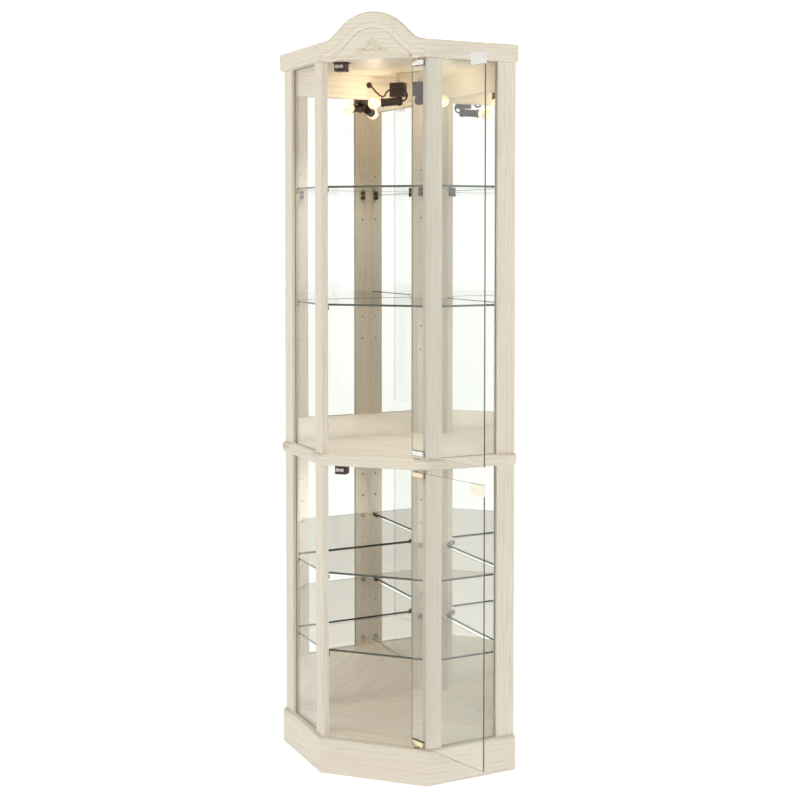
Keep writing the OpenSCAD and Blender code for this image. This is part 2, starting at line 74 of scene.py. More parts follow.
def link(name, mesh, body, replaced=()):
    """Makes an object of a mesh, rides it on a body, and hides the CAD nodes it replaces."""
    piece = bpy.data.objects.new(name, mesh)
    scene.collection.objects.link(piece)
    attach(piece, body)
    for node in replaced:
        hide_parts(node)
    return piece


def mesh_from(name, bm, smooth_angle=SHARP_ANGLE):
    """Closes a bmesh into a mesh with smooth faces and sharp edges."""
    bmesh.ops.recalc_face_normals(bm, faces=bm.faces)
    mesh = bpy.data.meshes.new(name)
    bm.to_mesh(mesh)
    bm.free()
    mesh.shade_smooth()
    mesh.set_sharp_from_angle(angle=math.radians(smooth_angle))
    return mesh


def soften(name, width, segments=2):
    """Rounds the edges of a CAD node with a modifier."""
    bevel = nodes[name].modifiers.new("soft edges", "BEVEL")
    bevel.width = width
    bevel.segments = segments
    bevel.limit_method = "ANGLE"
    bevel.angle_limit = math.radians(SHARP_ANGLE)
    bevel.harden_normals = True


def paint(piece, *materials):
    """Gives an object these materials and no others."""
    piece.data.materials.clear()
    for material in materials:
        piece.data.materials.append(material)


# ------------------------------------------------------------------ materials

class Nodes:
    """A new material, and short calls that add nodes to it."""

    def __init__(self, name):
        self.material = bpy.data.materials.new(name)
        self.material.use_nodes = True
        self.tree = self.material.node_tree
        self.shader = self.tree.nodes["Principled BSDF"]
        self.coords = self.add("ShaderNodeTexCoord").outputs["Object"]

    def add(self, kind, inputs=None, **settings):
        node = self.tree.nodes.new(kind)
        for key, value in settings.items():
            setattr(node, key, value)
        for key, value in (inputs or {}).items():
            if isinstance(value, bpy.types.NodeSocket):
                self.tree.links.new(value, node.inputs[key])
            else:
                node.inputs[key].default_value = value
        return node

    def set(self, **values):
        for key, value in values.items():
            socket = self.shader.inputs[key.replace("_", " ")]
            if isinstance(value, bpy.types.NodeSocket):
                self.tree.links.new(value, socket)
            else:
                socket.default_value = value

    def mapped(self, source, scale=(1, 1, 1), turn=(0, 0, 0), shift=(0, 0, 0)):
        values = {"Vector": source, "Scale": scale, "Rotation": turn, "Location": shift}
        return self.add("ShaderNodeMapping", values).outputs["Vector"]

    def noise(self, vector, scale, detail=4.0, rough=0.55, distortion=0.0):
        values = {
            "Vector": vector,
            "Scale": scale,
            "Detail": detail,
            "Roughness": rough,
            "Distortion": distortion,
        }
        return self.add("ShaderNodeTexNoise", values).outputs["Fac"]

    def spread(self, fac, low, high, to_low, to_high):
        values = {
            "Value": fac,
            "From Min": low,
            "From Max": high,
            "To Min": to_low,
            "To Max": to_high,
        }
        return self.add("ShaderNodeMapRange", values).outputs["Result"]

    def mix(self, fac, a, b):
        node = self.add("ShaderNodeMix", data_type="RGBA")
        for key, value in (("Factor", fac), ("A", a), ("B", b)):
            socket = next(s for s in node.inputs if s.name == key and s.enabled)
            if isinstance(value, bpy.types.NodeSocket):
                self.tree.links.new(value, socket)
            else:
                socket.default_value = (*value, 1)
        return next(s for s in node.outputs if s.enabled)

    def bump(self, height, distance, strength=1.0):
        values = {"Height": height, "Distance": distance, "Strength": strength}
        self.set(Normal=self.add("ShaderNodeBump", values).outputs["Normal"])


GRAIN = {
    "up": Vector((0, 0, 1)),
    "across": Vector((1, 0, 0)),
    "right": Vector((1, 1, 0)),
    "left": Vector((-1, 1, 0)),
}


OAK_PALE = (0.755, 0.712, 0.605)
OAK_DEEP = (0.68, 0.595, 0.49)
OAK_PORE = (0.50, 0.42, 0.31)
# Painted shade: the colour put into the hollows of the carving
OAK_PAINTED_SHADE = (0.24, 0.19, 0.10)


def shade(color, *factors):
    """A colour times one factor, or times a factor for each channel."""
    factors = factors if len(factors) == 3 else factors * 3
    return tuple(min(1, c * f) for c, f in zip(color, factors))


def wood(name, grain, seed, pale=OAK_PALE, deep=OAK_DEEP, shaded_hollows=False):
    """White-washed oak, with its grain along a direction, and with painted shade in the hollows
    when asked.
    """
    m = Nodes(name)
    turn = GRAIN[grain].rotation_difference(Vector((0, 0, 1))).to_euler()
    board = m.mapped(m.coords, turn=turn, shift=(seed * 0.173, seed * 0.291, seed * 0.417))
    long = m.mapped(board, scale=(1, 1, 0.07))
    figure = m.noise(long, 16, detail=3, rough=0.5, distortion=0.8)
    rings = m.add(
        "ShaderNodeTexWave",
        {"Vector": long, "Scale": 38, "Distortion": 12, "Detail": 3, "Detail Scale": 1.1},
        bands_direction="X",
    ).outputs["Fac"]
    fibre = m.noise(m.mapped(board, scale=(1, 1, 0.03)), 420, detail=3, rough=0.6)
    pores = m.noise(m.mapped(board, scale=(1, 1, 0.022)), 900, detail=1, rough=0.4)
    body = m.mix(m.spread(figure, 0.3, 0.7, 0.0, 0.5), pale, deep)
    late = m.spread(rings, 0.55, 1.0, 0.0, 0.38)
    body = m.mix(late, body, shade(deep, 0.82))
    body = m.mix(m.spread(fibre, 0.35, 0.75, 0.0, 0.30), body, shade(pale, 1.12))
    pits = m.spread(pores, 0.60, 0.72, 0.0, 0.5)
    body = m.mix(pits, body, OAK_PORE)
    streak = m.spread(m.noise(long, 5, detail=3), 0.45, 0.75, 0.0, 0.4)
    body = m.mix(streak, body, shade(pale, 1, 0.88, 0.86))
    if shaded_hollows:
        # Painted shade: darker where the surface is hollow, where shade falls
        hollow = m.add("ShaderNodeNewGeometry").outputs["Pointiness"]
        body = m.mix(m.spread(hollow, 0.455, 0.512, 0.95, 0.0), body, OAK_PAINTED_SHADE)
    m.set(Base_Color=body, Roughness=m.spread(fibre, 0.3, 0.8, 0.42, 0.60), Coat_Weight=0.12)
    m.shader.inputs["Coat Roughness"].default_value = 0.35
    height = m.add(
        "ShaderNodeMath", {0: m.spread(fibre, 0, 1, 0, 0.25), 1: pits}, operation="SUBTRACT"
    ).outputs["Value"]
    m.bump(height, 0.25 * MM, 0.6)
    return m.material


def back_board(name, seed):
    """Plain brown fibreboard, seen only from behind."""
    m = Nodes(name)
    fibres = m.noise(m.mapped(m.coords, shift=(seed, 0, 0)), 260, detail=6, rough=0.7)
    cloud = m.noise(m.coords, 5, detail=3)
    body = m.mix(m.spread(fibres, 0.3, 0.7, 0, 1), (0.33, 0.235, 0.15), (0.47, 0.35, 0.235))
    body = m.mix(m.spread(cloud, 0.3, 0.7, 0, 0.3), body, (0.40, 0.29, 0.19))
    m.set(Base_Color=body, Roughness=0.85)
    m.bump(fibres, 0.2 * MM, 0.5)
    return m.material


def mirror(name):
    """Silvered glass with the faintest haze."""
    m = Nodes(name)
    haze = m.noise(m.coords, 3, detail=3)
    tone = m.mix(m.spread(haze, 0.3, 0.7, 0, 1), (0.965, 0.975, 0.968), (0.98, 0.985, 0.98))
    m.set(
        Base_Color=tone,
        Metallic=1.0,
        Roughness=m.spread(haze, 0.3, 0.7, 0.0, 0.012),
    )
    return m.material


def clear_glass(name, tint):
    """Glass seen through its faces, with faint smears."""
    m = Nodes(name)
    smear = m.noise(m.coords, 6, detail=5, rough=0.65)
    m.set(
        Base_Color=(*tint, 1),
        Roughness=m.spread(smear, 0.45, 0.8, 0.0, 0.02),
        IOR=1.5,
        Transmission_Weight=1.0,
    )
    return m.material


def glass_edge(name, color):
    """Polished edge of a sheet, where the glass looks green."""
    m = Nodes(name)
    polish = m.noise(m.mapped(m.coords, scale=(1, 1, 4)), 60, detail=2)
    m.set(
        Base_Color=m.mix(m.spread(polish, 0.35, 0.65, 0, 1), color, shade(color, 0.6)),
        Roughness=m.spread(polish, 0.3, 0.7, 0.12, 0.25),
        IOR=1.5,
        Transmission_Weight=0.2,
    )
    return m.material


# Painted reflection: the colour and width of the dark lines drawn along rounded metal edges
PAINTED_EDGE_DARK = (0.05, 0.035, 0.02)
PAINTED_EDGE_WIDTH = 2.6 * MM


def metal(name, color, rough, wear=0.12, painted_edges=False):
    """Plated metal with fine rubbing marks and dull patches, and, when asked, painted dark edge
    lines that stand in for the dark reflections in its rounded edges.
    """
    m = Nodes(name)
    marks = m.noise(m.mapped(m.coords, scale=(1, 1, 14)), 500, detail=3)
    patch = m.noise(m.coords, 60, detail=4)
    tone = m.mix(m.spread(patch, 0.4, 0.75, 0, 0.6), color, shade(color, 0.86))
    if painted_edges:
        # Painted reflection: darkens the edges, where the rounded normal turns away from the true
        # one
        rounded = m.add("ShaderNodeBevel", {"Radius": PAINTED_EDGE_WIDTH}, samples=8).outputs["Normal"]
        true = m.add("ShaderNodeNewGeometry").outputs["Normal"]
        facing = m.add("ShaderNodeVectorMath", {0: rounded, 1: true}, operation="DOT_PRODUCT")
        tone = m.mix(m.spread(facing.outputs["Value"], 0.88, 0.997, 0, 1), PAINTED_EDGE_DARK, tone)
    m.set(
        Base_Color=tone,
        Metallic=1.0,
        Roughness=m.spread(marks, 0.3, 0.7, rough, rough + wear),
    )
    m.bump(marks, 0.03 * MM, 0.5)
    return m.material


def plastic(name, color, rough=0.38):
    """Moulded plastic with a fine texture."""
    m = Nodes(name)
    grit = m.noise(m.coords, 1500, detail=2)
    cloud = m.noise(m.coords, 45, detail=3)
    m.set(
        Base_Color=m.mix(m.spread(cloud, 0.35, 0.7, 0, 0.5), color, shade(color, 1.5)),
        Roughness=m.spread(grit, 0.3, 0.7, rough, rough + 0.14),
    )
    m.bump(grit, 0.05 * MM, 0.4)
    return m.material


def glow(name, color, strength):
    """Lit glass of a bulb, uneven in brightness."""
    m = Nodes(name)
    swirl = m.spread(m.noise(m.coords, 70, detail=2), 0.35, 0.65, 0, 1)
    m.set(
        Base_Color=(*color, 1),
        Roughness=0.1,
        Emission_Color=m.mix(swirl, color, (1.0, 0.97, 0.90)),
        Emission_Strength=m.spread(swirl, 0, 1, 0.6 * strength, 1.6 * strength),
    )
    return m.material


add_camera()

# ------------------------------------------------------------------ lead

LEAD_R = 2.2 * MM
LEAD_SIDES = 14
# From the left lamp holder to the grommet high in the left back wall, in millimetres
LEAD_ROUTE = [
    (-19.5, 268, 1646), (-13, 267, 1647), (-7, 264, 1652), (-4, 260, 1660),
    (-6, 257, 1668), (-13, 256, 1674), (-24, 255, 1677), (-37, 255, 1677),
    (-50, 256, 1673), (-58, 259, 1669), (-64, 266, 1664), (-70, 273, 1660),
    (-78, 279, 1660), (-88, 286, 1665), (-98, 294, 1672), (-108, 302, 1681),
    (-117, 309, 1689), (-123, 314, 1693), (-128, 318, 1694), (-141, 331, 1694),
]


def smooth_route(route, steps=6):
    """Points of a Catmull-Rom curve through the route, in metres."""
    pts = [Vector(p) * MM for p in route]
    last = len(pts) - 1
    curve = []
    for i in range(last):
        a, b, c, d = pts[max(i - 1, 0)], pts[i], pts[i + 1], pts[min(i + 2, last)]
        for k in range(steps):
            s = k / steps
            cubic = (3 * b - a - 3 * c + d) * s ** 3
            curve.append(0.5 * (2 * b + (c - a) * s + (2 * a - 5 * b + 4 * c - d) * s * s + cubic))
    curve.append(pts[last])
    return curve


def tube(bm, pts, radii, sides=10):
    """Tube along points, round in section, with closed ends."""
    rings = []
    heading = (pts[1] - pts[0]).normalized()
    across = heading.orthogonal().normalized()
    for i, p in enumerate(pts):
        ahead = (pts[min(i + 1, len(pts) - 1)] - pts[max(i - 1, 0)]).normalized()
        across = heading.rotation_difference(ahead) @ across
        heading = ahead
        up = heading.cross(across)
        ring = []
        for k in range(sides):
            w = 2 * math.pi * k / sides
            ring.append(bm.verts.new(p + radii[i] * (math.cos(w) * across + math.sin(w) * up)))
        rings.append(ring)
    for a, b in zip(rings, rings[1:]):
        for k in range(sides):
            n = (k + 1) % sides
            bm.faces.new((a[k], a[n], b[n], b[k]))
    bm.faces.new(list(reversed(rings[0])))
    bm.faces.new(rings[-1])


def build_lead(material):
    """The lamp's own lead, from the left lamp holder out through the left back wall."""
    pts = smooth_route(LEAD_ROUTE)
    bm = bmesh.new()
    tube(bm, pts, [LEAD_R] * len(pts), LEAD_SIDES)
    lead = link("lamp_lead_sheath", mesh_from("lamp_lead_sheath", bm, 60), "cabinet", ["lamp_lead"])
    paint(lead, material)


# ------------------------------------------------------------------ crown

(_, ARCH_FRONT, ARCH_BOTTOM), (ARCH_HALF, ARCH_BACK, ARCH_TOP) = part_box("crown_arch")
ARCH_R = 108 * MM
FOOT_R = 45 * MM
FOOT_Z = ARCH_BOTTOM + 44 * MM
ARCH_STEPS = 14
FOOT_STEPS = 10
ROUND_R = 5
FLAT_END = 22
STEP_R = 2.2
HOLLOW_W = 9
HOLLOW_DROP = 0.9
HOLLOW_DEPTH = 1.5
BAND_W = 43


def arch_path(d):
    """Outline of the arch's right half, moved inwards by d, from the top to the corner."""
    center_z = ARCH_TOP - ARCH_R
    r = ARCH_R - d
    pts = []
    for i in range(ARCH_STEPS + 1):
        a = math.radians(90 - 45 * i / ARCH_STEPS)
        pts.append((r * math.cos(a), center_z + r * math.sin(a)))
    k = 1 / math.sqrt(2)
    flank = (ARCH_R * k + center_z) - FOOT_Z
    foot_x = ARCH_R * k + flank + FOOT_R * (math.sqrt(2) - 1)
    r = FOOT_R + d
    for i in range(FOOT_STEPS + 1):
        a = math.radians(225 + 45 * i / FOOT_STEPS)
        pts.append((foot_x + r * math.cos(a), FOOT_Z + FOOT_R + r * math.sin(a)))
    past_mitre = ARCH_HALF + 30 * MM
    pts.append((past_mitre, FOOT_Z - d))
    return pts


def moulding_section():
    """Distance inwards and depth of the arch's moulding, from its back over the top."""
    pts = []

    def add(inwards, depth):
        pts.append((inwards * MM, ARCH_FRONT + depth * MM))

    for i in range(7):
        a = math.radians(90 * i / 6)
        add(ROUND_R * (1 - math.cos(a)), ROUND_R * (1 - math.sin(a)))
    add(FLAT_END, 0)
    for i in range(1, 6):
        a = math.radians(90 * i / 5)
        add(FLAT_END + STEP_R * math.sin(a), STEP_R * (1 - math.cos(a)))
    hollow = FLAT_END + STEP_R
    for i in range(1, 9):
        t = i / 8
        add(hollow + HOLLOW_W * t, STEP_R + HOLLOW_DROP * t - HOLLOW_DEPTH * math.sin(math.pi * t))
    lip = hollow + HOLLOW_W
    lip_depth = STEP_R + HOLLOW_DROP
    for i in range(1, 8):
        a = math.radians(90 * i / 7)
        add(lip + ROUND_R * math.sin(a), lip_depth + ROUND_R * (1 - math.cos(a)))
    add(BAND_W, lip_depth + ROUND_R + 0.1)
    return [(0.0, ARCH_BACK)] + pts + [(BAND_W * MM, ARCH_BACK)]


def trim(bm, point, normal):
    """Cuts a solid off beyond a plane, and closes the cut."""
    bmesh.ops.bisect_plane(
        bm,
        geom=bm.verts[:] + bm.edges[:] + bm.faces[:],
        plane_co=point,
        plane_no=normal,
        clear_outer=True,
    )
    bmesh.ops.holes_fill(bm, edges=[e for e in bm.edges if e.is_boundary])


def build_arch(material):
    """Sweeps the moulding along the arch, and mitres it against the side mouldings."""
    bm = bmesh.new()
    rings = []
    for d, y in moulding_section():
        right = arch_path(d)
        left = [(-x, z) for x, z in reversed(right[1:])]
        rings.append([bm.verts.new((x, y, z)) for x, z in left + right])
    for a, b in zip(rings, rings[1:] + rings[:1]):
        for i in range(len(a) - 1):
            bm.faces.new((a[i], a[i + 1], b[i + 1], b[i]))
    for end in (0, -1):
        bm.faces.new([ring[end] for ring in rings])
    bmesh.ops.recalc_face_normals(bm, faces=bm.faces)
    mitre = math.tan(math.radians(67.5))
    for side in (-1, 1):
        normal = Vector((side * mitre, 1, 0)).normalized()
        trim(bm, (side * ARCH_HALF, ARCH_FRONT, 0), normal)
    trim(bm, (0, 0, ARCH_BOTTOM), (0, 0, -1))
    rail_l, rail_w, rail_h = 186 * MM, 8 * MM, 6 * MM
    for v in bmesh.ops.create_cube(bm, size=1)["verts"]:
        v.co.x *= rail_l
        v.co.y = ARCH_BACK - 5 * MM + v.co.y * rail_w
        v.co.z = ARCH_BOTTOM + rail_h / 2 + v.co.z * rail_h
    arch = link("arch_moulding", mesh_from("arch_moulding", bm), "cabinet", ["crown_arch"])
    paint(arch, material)


def leaf(bm, base, angle, length, width, rise, curl=0.0):
    """Carved leaf: pointed, domed, creased down the middle and fluted at the edges."""
    rows, cols = 14, 9
    y0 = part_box("crown_carving")[1][1]
    grid = []
    for i in range(rows):
        t = i / (rows - 1)
        half = 0.5 * width * (math.sin(math.pi * t ** 0.75) ** 0.8 + 0.06) * (1 - 0.35 * t)
        bend = angle + curl * t * t
        along = Vector((math.sin(bend), 0, math.cos(bend)))
        side = Vector((math.cos(bend), 0, -math.sin(bend)))
        row = []
        for j in range(cols):
            s = 2 * j / (cols - 1) - 1
            dome = (1 - s * s) ** 0.5 * (0.45 + 0.55 * math.sin(math.pi * min(1, t + 0.12)))
            crease = 0.30 * math.exp(-(s * 5) ** 2)
            flute = 0.12 * math.cos(t * 26) * abs(s)
            lift = rise * max(0.02, dome - crease + flute)
            place = Vector(base) + along * (length * t) + side * (half * s)
            row.append((place, lift))
        grid.append(row)
    sunk = 0.3 * MM
    front = [[bm.verts.new((p.x, y0 - lift, p.z)) for p, lift in row] for row in grid]
    back = [[bm.verts.new((p.x, y0 + sunk, p.z)) for p, lift in row] for row in grid]
    for i in range(rows - 1):
        for j in range(cols - 1):
            bm.faces.new((front[i][j], front[i][j + 1], front[i + 1][j + 1], front[i + 1][j]))
            bm.faces.new((back[i][j], back[i + 1][j], back[i + 1][j + 1], back[i][j + 1]))
    rim = [(i, 0) for i in range(rows)] + [(rows - 1, j) for j in range(1, cols)]
    rim += [(i, cols - 1) for i in range(rows - 2, -1, -1)]
    rim += [(0, j) for j in range(cols - 2, 0, -1)]
    for (i, j), (k, l) in zip(rim, rim[1:] + rim[:1]):
        bm.faces.new((front[i][j], front[k][l], back[k][l], back[i][j]))


def volute(bm, start, center, turns, thick, side):
    """Scroll that winds in to a centre and ends in a bud."""
    y0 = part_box("crown_carving")[1][1]
    start = Vector(start)
    center = Vector(center)
    arm = start - center
    a0 = math.atan2(arm.z, arm.x)
    steps = 40
    pts, radii = [], []
    for i in range(steps + 1):
        t = i / steps
        r = arm.length * (1 - 0.86 * t)
        a = a0 - side * 2 * math.pi * turns * t
        pts.append(Vector((center.x + r * math.cos(a), y0 - 1.6 * MM, center.z + r * math.sin(a))))
        radii.append(thick * (1 - 0.45 * t))
    tube(bm, pts, radii)
    bud = bmesh.ops.create_icosphere(bm, subdivisions=2, radius=thick * 1.15)["verts"]
    bmesh.ops.translate(bm, verts=bud, vec=(center.x, y0 - 1.9 * MM, center.z))


# Leaves of the carving: place from the foot (x, z), angle, length, width, rise and curl
PLUME = [
    (0, 0, angle, length, width, 4.2, 0)
    for angle, length, width in (
        (0, 33, 12), (30, 27, 10), (-30, 27, 10), (62, 22, 9), (-62, 22, 9),
    )
]
SIDE_LEAVES = [
    (4, -3, 84, 26, 11, 3.8, 0.35),
    (22, -2, 66, 17, 8, 3.4, 0.7),
    (32, -5, 98, 19, 9, 3.4, 0.25),
    (10, -5, 118, 17, 7, 3.2, -0.6),
]
# Scrolls: start and centre from the foot (x, z), turns and thickness
SCROLLS = [
    ((13, 1), (20, 2), 1.4, 1.5),
    ((28, -6), (33, -2), 1.2, 1.2),
]


def build_carving(material):
    """Spray in the arch: a plume of leaves, with scrolls and leaves to each side."""
    low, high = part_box("crown_carving")
    x0 = 0.5 * (low[0] + high[0])
    y = high[1]
    foot = low[2] + 13 * MM
    bm = bmesh.new()

    def spot(side, x, z):
        return (x0 + side * x * MM, y, foot + z * MM)

    def grow(side, x, z, angle, length, width, rise, curl):
        leaf(bm, spot(side, x, z), math.radians(side * angle), length * MM, width * MM,
             rise * MM, curl=side * curl)

    for row in PLUME:
        grow(1, *row)
    for side in (-1, 1):
        for row in SIDE_LEAVES:
            grow(side, *row)
        for start, center, turns, thick in SCROLLS:
            volute(bm, spot(side, *start), spot(side, *center), turns, thick * MM, side)
    bud = bmesh.ops.create_icosphere(bm, subdivisions=3, radius=4.5 * MM)["verts"]
    flatness = 0.7
    for v in bud:
        v.co = Vector((x0 + v.co.x, y - 1.5 * MM + flatness * v.co.y, foot - 2 * MM + v.co.z))
    carving = link("carved_spray", mesh_from("carved_spray", bm, 180), "cabinet", ["crown_carving"])
    remesh = carving.modifiers.new("one piece", "REMESH")
    remesh.mode = "VOXEL"
    remesh.voxel_size = 0.55 * MM
    remesh.use_smooth_shade = True
    smooth = carving.modifiers.new("sanded", "SMOOTH")
    smooth.factor = 0.5
    smooth.iterations = 2
    paint(carving, material)


# ------------------------------------------------------------------ glass

def paint_glass(name, face, edge):
    """Clear faces and green edges: the two largest faces of a sheet are its faces."""
    piece = nodes[name]
    paint(piece, face, edge)
    mesh = piece.data
    areas = {}
    for p in mesh.polygons:
        key = tuple(round(abs(c), 2) for c in p.normal)
        areas[key] = areas.get(key, 0) + p.area
    flat = Vector(max(areas, key=areas.get))
    for p in mesh.polygons:
        turned = Vector(tuple(abs(c) for c in p.normal))
        p.material_index = 0 if turned.dot(flat) > 0.98 else 1
    piece.visible_shadow = False


def paint_above(name, material, height):
    """Gives the faces of a node above a height a second material."""
    mesh = nodes[name].data
    mesh.materials.append(material)
    for p in mesh.polygons:
        if p.center.z > height:
            p.material_index = 1


SIDE_START = 132 * MM
PANE_FACE = 8.6 * MM
OPENING = (42 * MM, 190.6 * MM)
BEAD = 0.9 * MM
# Corners of a box's faces, numbered by length, depth and height in turn
BOX_FACES = ((0, 1, 3, 2), (4, 6, 7, 5), (0, 4, 5, 1), (2, 3, 7, 6), (0, 2, 6, 4), (1, 5, 7, 3))


def build_shadow_beads(material):
    """Thin dark beads where the side panes meet the stiles and the boards: painted shade, standing
    in for the shadow in the grooves.
    """
    bm = bmesh.new()

    def bar(side, u0, u1, z0, z1):
        corners = []
        for u in (u0, u1):
            for w in (PANE_FACE - BEAD, PANE_FACE):
                x = SIDE_START + (u - w) / math.sqrt(2)
                y = (u + w) / math.sqrt(2)
                corners += [bm.verts.new((side * x, y, z)) for z in (z0, z1)]
        for face in BOX_FACES:
            bm.faces.new([corners[i] for i in face])

    near, far = OPENING
    for level in ("lower", "upper"):
        (_, _, z0), (_, _, z1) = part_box(f"{level}_side_glass_right")
        for side in (-1, 1):
            bar(side, near, near + BEAD, z0 + BEAD, z1 - BEAD)
            bar(side, far - BEAD, far, z0 + BEAD, z1 - BEAD)
            bar(side, near, far, z0, z0 + BEAD)
            bar(side, near, far, z1 - BEAD, z1)
    seals = link("pane_shadow_beads", mesh_from("pane_shadow_beads", bm, 30), "cabinet")
    paint(seals, material)


# ------------------------------------------------------------------ lamp

def lathe(bm, profile, place, steps=40):
    """Turns a profile of (radius, distance) about an axis set by place()."""
    rings = []
    for r, h in profile:
        ring = []
        for k in range(steps):
            a = 2 * math.pi * k / steps
            ring.append(bm.verts.new(place(Vector((r * math.cos(a), r * math.sin(a), h)))))
        rings.append(ring)
    faces = []
    for a, b in zip(rings, rings[1:]):
        for k in range(steps):
            n = (k + 1) % steps
            faces.append(bm.faces.new((a[k], a[n], b[n], b[k])))
    faces.append(bm.faces.new(list(reversed(rings[0]))))
    faces.append(bm.faces.new(rings[-1]))
    return faces


BULB_R = 15 * MM
BULB_NECK = 5.6 * MM
BULB_REACH = 73.5 * MM
BULB_TURN = 98
BULB_TILT = math.radians(94)
BULB_STEPS = 25


def build_bulbs(glass, cap):
    """Two round bulbs with metal caps, along the axes of the lamp holders, and their light."""
    profile = []
    for i in range(1, BULB_STEPS):
        a = math.radians(180 * i / BULB_STEPS * 0.86)
        profile.append((BULB_R * math.sin(a), BULB_R * math.cos(a)))
    profile += [
        (BULB_NECK + 1.5 * MM, -BULB_R * 0.98),
        (BULB_NECK, -BULB_R * 1.12),
        (BULB_NECK - 0.6 * MM, -BULB_R * 1.25),
    ]
    threads = [
        (BULB_NECK if i % 2 else BULB_NECK - 0.6 * MM, -BULB_R * 1.2 - i * 0.9 * MM)
        for i in range(8)
    ]
    bm = bmesh.new()
    for side in (-1, 1):
        turn = math.radians(90 - side * BULB_TURN)
        level = math.sin(BULB_TILT)
        axis = Vector((level * math.cos(turn), level * math.sin(turn), math.cos(BULB_TILT)))
        up = axis.orthogonal().normalized()
        across = axis.cross(up)
        center = Vector((20 * side, 268, 1646)) * MM + axis * BULB_REACH

        def place(p):
            return center + up * p.x + across * p.y + axis * p.z

        lathe(bm, profile, place)
        for face in lathe(bm, threads, place):
            face.material_index = 1
        light = bpy.data.lights.new("bulb_light", "POINT")
        light.energy = 0.26
        light.color = (1.0, 0.80, 0.52)
        light.shadow_soft_size = BULB_R
        lamp = bpy.data.objects.new("bulb_light", light)
        lamp.location = center
        scene.collection.objects.link(lamp)
    bulbs = link("bulbs", mesh_from("bulbs", bm, 60), "cabinet", ["lamp_bulbs"])
    paint(bulbs, glass, cap)
    bulbs.visible_shadow = False


# ------------------------------------------------------------------ finishes

# Oak for the boards inside the compartments, made paler than the outside oak: painted light,
# standing in for the light the mirrors throw back inside
LIGHTENED_INSIDE = {"pale": (0.92, 0.86, 0.74), "deep": (0.83, 0.75, 0.61)}

WOOD_GRAIN = {
    "plinth_front": "across", "plinth_left": "left", "plinth_right": "right",
    "mid_board": "across", "crown_left": "left", "crown_right": "right",
    "crown_tympanum": "across",
}
for side in ("left", "right"):
    for level in ("lower", "upper"):
        WOOD_GRAIN[f"{level}_front_stile_{side}"] = "up"
        WOOD_GRAIN[f"{level}_rear_stile_{side}"] = "up"
for level in ("lower", "upper"):
    WOOD_GRAIN[f"{level}_corner_post"] = "up"

for seed, (name, grain) in enumerate(sorted(WOOD_GRAIN.items())):
    paint(nodes[name], wood(f"oak_{name}", grain, seed))
    soften(name, 0.8 * MM)
for seed, (name, grain) in enumerate((
    ("floor_panel", "across"), ("plinth_back_left", "right"), ("plinth_back_right", "left"),
    ("ceiling_board", "across"), ("back_top_rails", "right"),
)):
    paint(nodes[name], wood(f"oak_{name}", grain, seed + 40, **LIGHTENED_INSIDE))
for seed, name in enumerate(("back_panel_left", "back_panel_right")):
    paint(nodes[name], back_board(f"fibreboard_{name}", seed))

build_arch(wood("oak_arch", "across", 61))
# The carving's oak has painted shade in its hollows
build_carving(wood("oak_carving", "across", 67, (0.83, 0.785, 0.64), (0.72, 0.65, 0.46), True))

MIRROR = mirror("mirror")
GROUND_EDGE = metal("ground_edge", (0.15, 0.13, 0.10), 0.5)
for name in ("lower_mirror_left", "lower_mirror_right", "upper_mirror_left", "upper_mirror_right"):
    paint(nodes[name], MIRROR, GROUND_EDGE)
    soften(name, 2.2 * MM, 1)
    nodes[name].modifiers["soft edges"].material = 1

# Painted shade: dark beads in the grooves around the side panes
build_shadow_beads(plastic("shadow_bead", (0.20, 0.17, 0.12), 0.6))
CLEAR = clear_glass("clear_glass", (0.968, 0.984, 0.957))
# The shelves' beige tint is painted reflection, standing in for the wood above that they reflect
SHELF_GLASS = clear_glass("shelf_glass", (0.92, 0.885, 0.835))
GREEN_EDGE = glass_edge("glass_edge", (0.11, 0.15, 0.115))
SHELF_EDGE = glass_edge("shelf_edge", (0.125, 0.135, 0.105))
for name in nodes:
    if name.endswith("door_glass") or "side_glass" in name:
        paint_glass(name, CLEAR, GREEN_EDGE)
    elif "_shelf_" in name:
        paint_glass(name, SHELF_GLASS, SHELF_EDGE)

# Brass and nickel get painted dark reflections along their edges
BRASS = metal("brass", (0.86, 0.76, 0.52), 0.13, painted_edges=True)
NICKEL = metal("nickel", (0.90, 0.89, 0.85), 0.10, 0.06, painted_edges=True)
STEEL = metal("steel", (0.55, 0.52, 0.46), 0.25)
BRONZE = plastic("bronze", (0.085, 0.062, 0.036), 0.5)
# Dark brown metal, used for the screws
DARK_METAL = metal("dark_metal", (0.09, 0.065, 0.035), 0.5)
WHITE_STEEL = metal("white_steel", (0.96, 0.96, 0.94), 0.3, 0.01)
PALE_BRASS = metal("pale_brass", (0.93, 0.905, 0.75), 0.25, 0.06)
for level, plating, plate in (("lower", BRASS, PALE_BRASS), ("upper", NICKEL, WHITE_STEEL)):
    for part, finish, edge in (
        ("top_clip", plating, 0.3), ("bottom_clip", plating, 0.3),
        ("screws", DARK_METAL, 0.3), ("strike", plate, 0.2),
    ):
        paint(nodes[f"{level}_door_{part}"], finish)
        soften(f"{level}_door_{part}", edge * MM)
paint(nodes["pivot_bushes"], BRASS)
paint(nodes["shelf_pins"], BRONZE)

BROWN = plastic("brown_plastic", (0.040, 0.019, 0.013))
CREAM = plastic("cream_enamel", (0.62, 0.54, 0.40), 0.4)
for name in (
    "lower_latch_body", "upper_latch_body", "lower_latch_plungers", "upper_latch_plungers",
    "lamp_bracket", "lamp_socket_left", "lamp_socket_right", "lamp_grommet",
):
    paint(nodes[name], STEEL if "plungers" in name else BROWN)
    soften(name, 0.6 * MM)

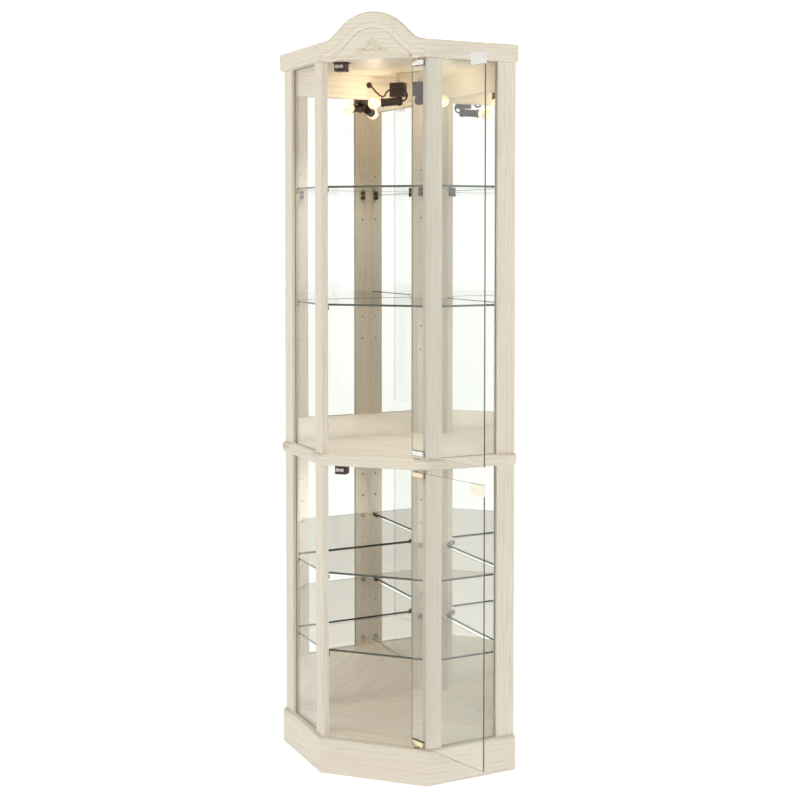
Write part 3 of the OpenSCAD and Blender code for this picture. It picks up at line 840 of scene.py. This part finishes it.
STRAP_Z = 1692.3 * MM
paint_above("lamp_bracket", CREAM, STRAP_Z)
build_lead(plastic("sheath", (0.035, 0.020, 0.010), 0.45))
build_bulbs(glow("lit_bulb", (1.0, 0.78, 0.46), 0.65), BRASS)


# ------------------------------------------------------------------ studio

def hidden_lamp(name, kind, place, energy, color, size=None):
    """A lamp that lights the object without showing in its glass and mirrors."""
    light = bpy.data.lights.new(name, kind)
    light.energy = energy
    light.color = color
    if size:
        light.shape = "RECTANGLE"
        light.size, light.size_y = size
    lamp = bpy.data.objects.new(name, light)
    lamp.location = place
    lamp.visible_camera = False
    lamp.visible_glossy = False
    lamp.visible_transmission = False
    scene.collection.objects.link(lamp)
    return lamp


def aimed_light(name, place, size, energy, color):
    """A large soft light that points at the middle of the cabinet."""
    lamp = hidden_lamp(name, "AREA", place, energy, color, size)
    middle = Vector((0, 0.2, 1.0))
    lamp.rotation_euler = (middle - Vector(place)).to_track_quat("-Z", "Y").to_euler()


def bounce_light(height, energy, downward):
    """Light inside a compartment, in place of what the mirrors throw back."""
    place, color = (0, 0.16, height), (1.0, 0.985, 0.95)
    if downward:
        lamp = hidden_lamp("bounce", "AREA", place, energy, color, (0.34, 0.16))
        lamp.data.spread = math.radians(95)
    else:
        lamp = hidden_lamp("bounce", "POINT", place, energy, color)
        lamp.data.shadow_soft_size = 0.12


def build_world():
    """White walls all round, up to a dimmer ceiling that the glass shelves reflect."""
    world = bpy.data.worlds.new("studio")
    world.use_nodes = True
    tree = world.node_tree
    background = tree.nodes["Background"]
    direction = tree.nodes.new("ShaderNodeTexCoord").outputs["Generated"]
    split = tree.nodes.new("ShaderNodeSeparateXYZ")
    ramp = tree.nodes.new("ShaderNodeValToRGB")
    tree.links.new(direction, split.inputs["Vector"])
    tree.links.new(split.outputs["Z"], ramp.inputs["Fac"])
    tree.links.new(ramp.outputs["Color"], background.inputs["Color"])
    low, high = ramp.color_ramp.elements
    low.position, low.color = 0.11, (1, 1, 1, 1)
    high.position, high.color = 0.19, (0.42, 0.395, 0.345, 1)
    background.inputs["Strength"].default_value = 1.12
    scene.world = world


def emitter(name, mesh, strength):
    """A white part of the studio that gives light."""
    piece = bpy.data.objects.new(name, mesh)
    scene.collection.objects.link(piece)
    m = Nodes(name)
    m.set(
        Base_Color=(0.2, 0.2, 0.2, 1),
        Roughness=0.9,
        Emission_Color=(1, 1, 1, 1),
        Emission_Strength=strength,
    )
    paint(piece, m.material)
    return piece


def build_studio():
    build_world()
    bm = bmesh.new()
    bmesh.ops.create_grid(bm, x_segments=4, y_segments=4, size=30)
    emitter("floor", mesh_from("floor", bm), 0.93)
    bm = bmesh.new()
    bmesh.ops.create_uvsphere(bm, u_segments=32, v_segments=16, radius=29)
    backdrop = emitter("backdrop", mesh_from("backdrop", bm), 1.1)
    backdrop.visible_diffuse = False
    backdrop.visible_glossy = False
    backdrop.visible_transmission = False
    backdrop.visible_shadow = False
    aimed_light("key", (-3.0, -3.1, 3.1), (2.2, 2.6), 55, (1.0, 0.98, 0.95))
    aimed_light("fill", (3.2, -1.6, 1.6), (2.0, 2.4), 30, (0.99, 0.99, 1.0))
    bounce_light(0.72, 0.95, True)
    bounce_light(1.60, 1.35, True)
    bounce_light(0.50, 2.0, False)


build_studio()
scene.view_settings.view_transform = "Standard"
